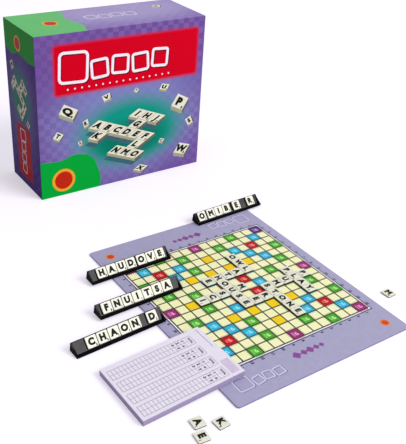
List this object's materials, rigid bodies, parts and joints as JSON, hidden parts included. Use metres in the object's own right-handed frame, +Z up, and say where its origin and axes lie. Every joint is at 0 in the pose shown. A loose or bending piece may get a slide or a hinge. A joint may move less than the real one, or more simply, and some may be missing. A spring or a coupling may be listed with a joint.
{
  "type": "travel word tile game case",
  "caption": "Boxed travel word game set out for play: upright lidded card box, square-grid board, letter racks with tiles, loose tiles and a score pad.",
  "frame": {"origin": "on the table under the middle of the whole set's outline", "axes": "+X across the board, +Y up the board towards the upright box, +Z up from the table"},
  "size_m": [0.324, 0.4994, 0.198],
  "materials": {
    "lid_paper": "laminated printed paper on card",
    "tray_paper": "uncoated white paper on card",
    "board_print": "satin printed card",
    "rack_plastic": "polished moulded polystyrene",
    "tile_plastic": "moulded polystyrene, soft gloss",
    "grey_card": "raw grey board",
    "pad_paper": "printed writing paper"
  },
  "bodies": {
    "set": {"box_tray": "tray_paper", "board": "board_print", "board_tile_01": "tile_plastic", "board_tile_02": "tile_plastic", "board_tile_03": "tile_plastic", "board_tile_04": "tile_plastic", "board_tile_05": "tile_plastic", "board_tile_06": "tile_plastic", "board_tile_07": "tile_plastic", "board_tile_08": "tile_plastic", "board_tile_09": "tile_plastic", "board_tile_10": "tile_plastic", "board_tile_11": "tile_plastic", "board_tile_12": "tile_plastic", "board_tile_13": "tile_plastic", "board_tile_14": "tile_plastic", "board_tile_15": "tile_plastic", "board_tile_16": "tile_plastic", "board_tile_17": "tile_plastic", "board_tile_18": "tile_plastic", "board_tile_19": "tile_plastic", "board_tile_20": "tile_plastic", "board_tile_21": "tile_plastic", "board_tile_22": "tile_plastic", "board_tile_23": "tile_plastic", "board_tile_24": "tile_plastic", "board_tile_25": "tile_plastic", "board_tile_26": "tile_plastic", "board_tile_27": "tile_plastic", "board_tile_28": "tile_plastic", "board_tile_29": "tile_plastic", "loose_tile_01": "tile_plastic", "loose_tile_02": "tile_plastic", "loose_tile_03": "tile_plastic", "loose_tile_04": "tile_plastic", "rack_01": "rack_plastic", "rack_02": "rack_plastic", "rack_03": "rack_plastic", "rack_04": "rack_plastic", "pad_backing": "grey_card", "pad_block": "pad_paper"},
    "lid": {"box_lid": "lid_paper"},
    "top_leaf": {"pad_top_leaf": "pad_paper"},
    "tiles_1_1": {"rack_01_tiles_01": "tile_plastic"},
    "tiles_1_2": {"rack_01_tiles_02": "tile_plastic"},
    "tiles_1_3": {"rack_01_tiles_03": "tile_plastic"},
    "tiles_1_4": {"rack_01_tiles_04": "tile_plastic"},
    "tiles_2_1": {"rack_02_tiles_01": "tile_plastic"},
    "tiles_2_2": {"rack_02_tiles_02": "tile_plastic"},
    "tiles_3_1": {"rack_03_tiles_01": "tile_plastic"},
    "tiles_4_1": {"rack_04_tiles_01": "tile_plastic"},
    "tiles_4_2": {"rack_04_tiles_02": "tile_plastic"}
  },
  "joints": [
    {"name": "lid_slide", "type": "slide", "parent": "set", "child": "lid", "axis": [0, -1, 0], "range_m": [0, 0.09]},
    {"name": "tiles_1_1_slide", "type": "slide", "parent": "set", "child": "tiles_1_1", "axis": [0.999, 0.0436, 0], "range_m": [-0.00107, 0.0013]},
    {"name": "tiles_1_2_slide", "type": "slide", "parent": "set", "child": "tiles_1_2", "axis": [0.999, 0.0436, 0], "range_m": [-0.0013, 0.00369]},
    {"name": "tiles_1_3_slide", "type": "slide", "parent": "set", "child": "tiles_1_3", "axis": [0.999, 0.0436, 0], "range_m": [-0.00369, 0.00996]},
    {"name": "tiles_1_4_slide", "type": "slide", "parent": "set", "child": "tiles_1_4", "axis": [0.999, 0.0436, 0], "range_m": [-0.00996, 0.00529]},
    {"name": "tiles_2_1_slide", "type": "slide", "parent": "set", "child": "tiles_2_1", "axis": [0.9997, 0.0262, 0], "range_m": [-0.00631, 0.00107]},
    {"name": "tiles_2_2_slide", "type": "slide", "parent": "set", "child": "tiles_2_2", "axis": [0.9997, 0.0262, 0], "range_m": [-0.00107, 0.00312]},
    {"name": "tiles_3_1_slide", "type": "slide", "parent": "set", "child": "tiles_3_1", "axis": [0.9994, 0.0349, 0], "range_m": [-0.00255, 0.00825]},
    {"name": "tiles_4_1_slide", "type": "slide", "parent": "set", "child": "tiles_4_1", "axis": [0.999, 0.0349, 0.0272], "range_m": [-0.01076, 0.00665]},
    {"name": "tiles_4_2_slide", "type": "slide", "parent": "set", "child": "tiles_4_2", "axis": [0.999, 0.0349, 0.0272], "range_m": [-0.00665, 0.00449]},
    {"name": "top_leaf_turn", "type": "hinge", "parent": "set", "child": "top_leaf", "pos_m": [-0.05047, -0.17225, 0.00913], "axis": [-0.0262, 0.9997, 0], "range_deg": [0, 170]}
  ]
}
